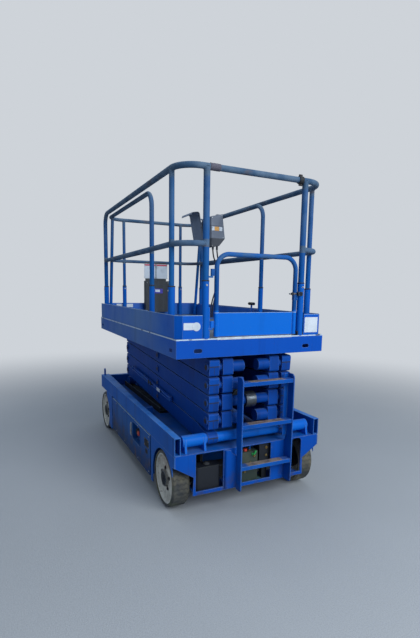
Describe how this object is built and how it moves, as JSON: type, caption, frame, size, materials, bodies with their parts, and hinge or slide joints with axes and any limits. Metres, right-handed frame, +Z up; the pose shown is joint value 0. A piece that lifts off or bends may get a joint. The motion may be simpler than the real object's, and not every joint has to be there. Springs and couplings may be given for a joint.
{
  "type": "scissor lift",
  "caption": "Electric slab scissor lift: a crossed-arm stack raises a railed platform with a roll-out deck over a wheeled chassis with swing-out side modules.",
  "frame": {"origin": "on the ground, under the middle of the overall length and width", "axes": "+X towards the steered front end, +Y to the machine's left, +Z up"},
  "size_m": [2.453, 1.194, 2.3483],
  "materials": {
    "blue_paint": "gloss",
    "deck_blue": "gloss",
    "worn_rail_blue": "satin",
    "dark_steel": "satin",
    "arm_blue": "satin",
    "cream_rim": "satin",
    "tyre_rubber": "matt",
    "floor_plate": "satin",
    "bare_steel": "satin",
    "chrome_rod": "polished",
    "pump_green": "satin",
    "battery_plastic": "matt",
    "tank_plastic": "matt",
    "control_grey": "satin",
    "sign_white": "satin",
    "document_black": "matt",
    "cable_black": "matt"
  },
  "bodies": {
    "chassis": {"chassis_frame": "blue_paint", "tie_down_lugs": "blue_paint", "side_skirts": "blue_paint", "rear_end": "blue_paint", "rear_bay_units": "pump_green", "ladder": "blue_paint", "pivot_tube": "arm_blue", "roller_tracks": "bare_steel", "rear_axle": "dark_steel", "front_axle": "dark_steel"},
    "knuckle_left": {"knuckle_left": "dark_steel"},
    "knuckle_right": {"knuckle_right": "dark_steel"},
    "module_left": {"module_door_left": "blue_paint", "battery_tray": "battery_plastic"},
    "module_right": {"module_door_right": "blue_paint", "tank_tray": "tank_plastic"},
    "wheel_front_left": {"tyre_front_left": "tyre_rubber", "rim_front_left": "cream_rim"},
    "wheel_front_right": {"tyre_front_right": "tyre_rubber", "rim_front_right": "cream_rim"},
    "wheel_rear_left": {"tyre_rear_left": "tyre_rubber", "rim_rear_left": "cream_rim"},
    "wheel_rear_right": {"tyre_rear_right": "tyre_rubber", "rim_rear_right": "cream_rim"},
    "outer_1": {"outer_arms_1": "arm_blue"},
    "inner_1": {"inner_arms_1": "arm_blue"},
    "outer_2": {"outer_arms_2": "arm_blue", "maintenance_brace": "arm_blue"},
    "inner_2": {"inner_arms_2": "arm_blue"},
    "outer_3": {"outer_arms_3": "arm_blue"},
    "inner_3": {"inner_arms_3": "arm_blue"},
    "outer_4": {"outer_arms_4": "arm_blue"},
    "inner_4": {"inner_arms_4": "arm_blue"},
    "outer_5": {"outer_arms_5": "arm_blue"},
    "inner_5": {"inner_arms_5": "arm_blue"},
    "ram_barrel": {"lift_cylinder_barrel": "dark_steel"},
    "ram_rod": {"lift_cylinder_rod": "chrome_rod"},
    "platform": {"deck_frame": "deck_blue", "deck_channels": "deck_blue", "deck_floor": "floor_plate", "toe_boards": "deck_blue", "guardrail_top": "worn_rail_blue", "guardrail_mid": "worn_rail_blue", "guardrail_posts": "worn_rail_blue"},
    "tie_rod": {"tie_rod": "dark_steel"},
    "gate": {"gate": "worn_rail_blue"},
    "extension": {"extension_deck": "floor_plate", "extension_rails": "worn_rail_blue", "control_box": "control_grey", "control_cable": "cable_black", "supply_cable": "cable_black", "sign_panels": "sign_white", "document_box": "document_black"}
  },
  "joints": [
    {"name": "lift", "type": "hinge", "parent": "chassis", "child": "outer_1", "pos_m": [-1.0645, 0, 0.52], "axis": [0, -1, 0], "range_deg": [0, 58]},
    {"name": "cross_1", "type": "hinge", "parent": "outer_1", "child": "inner_1", "pos_m": [-0.02641, 0, 0.583], "axis": [0, -1, 0], "range_deg": [-116, 0]},
    {"name": "fold_2", "type": "hinge", "parent": "inner_1", "child": "outer_2", "pos_m": [-1.0645, 0, 0.646], "axis": [0, -1, 0], "range_deg": [0, 116]},
    {"name": "cross_2", "type": "hinge", "parent": "outer_2", "child": "inner_2", "pos_m": [-0.02641, 0, 0.709], "axis": [0, -1, 0], "range_deg": [-116, 0]},
    {"name": "fold_3", "type": "hinge", "parent": "inner_2", "child": "outer_3", "pos_m": [-1.0645, 0, 0.772], "axis": [0, -1, 0], "range_deg": [0, 116]},
    {"name": "cross_3", "type": "hinge", "parent": "outer_3", "child": "inner_3", "pos_m": [-0.02641, 0, 0.835], "axis": [0, -1, 0], "range_deg": [-116, 0]},
    {"name": "fold_4", "type": "hinge", "parent": "inner_3", "child": "outer_4", "pos_m": [-1.0645, 0, 0.898], "axis": [0, -1, 0], "range_deg": [0, 116]},
    {"name": "cross_4", "type": "hinge", "parent": "outer_4", "child": "inner_4", "pos_m": [-0.02641, 0, 0.961], "axis": [0, -1, 0], "range_deg": [-116, 0]},
    {"name": "fold_5", "type": "hinge", "parent": "inner_4", "child": "outer_5", "pos_m": [-1.0645, 0, 1.024], "axis": [0, -1, 0], "range_deg": [0, 116]},
    {"name": "cross_5", "type": "hinge", "parent": "outer_5", "child": "inner_5", "pos_m": [-0.02641, 0, 1.087], "axis": [0, -1, 0], "range_deg": [-116, 0]},
    {"name": "deck_level", "type": "hinge", "parent": "inner_5", "child": "platform", "pos_m": [-1.0645, 0, 1.15], "axis": [0, -1, 0], "range_deg": [0, 58]},
    {"name": "ram_tilt", "type": "hinge", "parent": "inner_1", "child": "ram_barrel", "pos_m": [0.86196, 0, 0.52909], "axis": [0, -1, 0], "range_deg": [-10.2, 0]},
    {"name": "ram_stroke", "type": "slide", "parent": "ram_barrel", "child": "ram_rod", "axis": [-0.9921, 0, 0.1251], "range_m": [0, 1.7005]},
    {"name": "extension", "type": "slide", "parent": "platform", "child": "extension", "axis": [1, 0, 0], "range_m": [0, 0.91]},
    {"name": "gate", "type": "hinge", "parent": "platform", "child": "gate", "pos_m": [-1.1195, 0.334, 1.5], "axis": [0, 0, 1], "range_deg": [0, 90]},
    {"name": "module_left", "type": "hinge", "parent": "chassis", "child": "module_left", "pos_m": [0.6635, 0.585, 0.27], "axis": [0, 0, -1], "range_deg": [0, 90]},
    {"name": "module_right", "type": "hinge", "parent": "chassis", "child": "module_right", "pos_m": [0.6635, -0.585, 0.27], "axis": [0, 0, 1], "range_deg": [0, 90]},
    {"name": "steer_left", "type": "hinge", "parent": "chassis", "child": "knuckle_left", "pos_m": [1.0235, 0.425, 0.203], "axis": [0, 0, 1], "range_deg": [-40, 40]},
    {"name": "steer_right", "type": "hinge", "parent": "chassis", "child": "knuckle_right", "pos_m": [1.0235, -0.425, 0.203], "axis": [0, 0, 1], "range_deg": [-40, 40]},
    {"name": "tie_rod", "type": "hinge", "parent": "knuckle_left", "child": "tie_rod", "pos_m": [1.1485, 0.425, 0.176], "axis": [0, 0, 1], "range_deg": [-40, 40]},
    {"name": "roll_front_left", "type": "hinge", "parent": "knuckle_left", "child": "wheel_front_left", "pos_m": [1.0235, 0.5275, 0.203], "axis": [0, 1, 0], "continuous": true},
    {"name": "roll_front_right", "type": "hinge", "parent": "knuckle_right", "child": "wheel_front_right", "pos_m": [1.0235, -0.5275, 0.203], "axis": [0, 1, 0], "continuous": true},
    {"name": "roll_rear_left", "type": "hinge", "parent": "chassis", "child": "wheel_rear_left", "pos_m": [-0.8975, 0.5275, 0.203], "axis": [0, 1, 0], "continuous": true},
    {"name": "roll_rear_right", "type": "hinge", "parent": "chassis", "child": "wheel_rear_right", "pos_m": [-0.8975, -0.5275, 0.203], "axis": [0, 1, 0], "continuous": true}
  ],
  "couplings": [
    {"joint": "cross_1", "follows": "lift", "ratio": -2},
    {"joint": "fold_2", "follows": "lift", "ratio": 2},
    {"joint": "cross_2", "follows": "lift", "ratio": -2},
    {"joint": "fold_3", "follows": "lift", "ratio": 2},
    {"joint": "cross_3", "follows": "lift", "ratio": -2},
    {"joint": "fold_4", "follows": "lift", "ratio": 2},
    {"joint": "cross_4", "follows": "lift", "ratio": -2},
    {"joint": "fold_5", "follows": "lift", "ratio": 2},
    {"joint": "cross_5", "follows": "lift", "ratio": -2},
    {"joint": "deck_level", "follows": "lift", "ratio": 1},
    {"joint": "ram_tilt", "follows": "lift", "ratio": -0.17504},
    {"joint": "ram_stroke", "follows": "lift", "m_per_rad": 1.6794},
    {"joint": "steer_right", "follows": "steer_left", "ratio": 1},
    {"joint": "tie_rod", "follows": "steer_left", "ratio": -1}
  ]
}
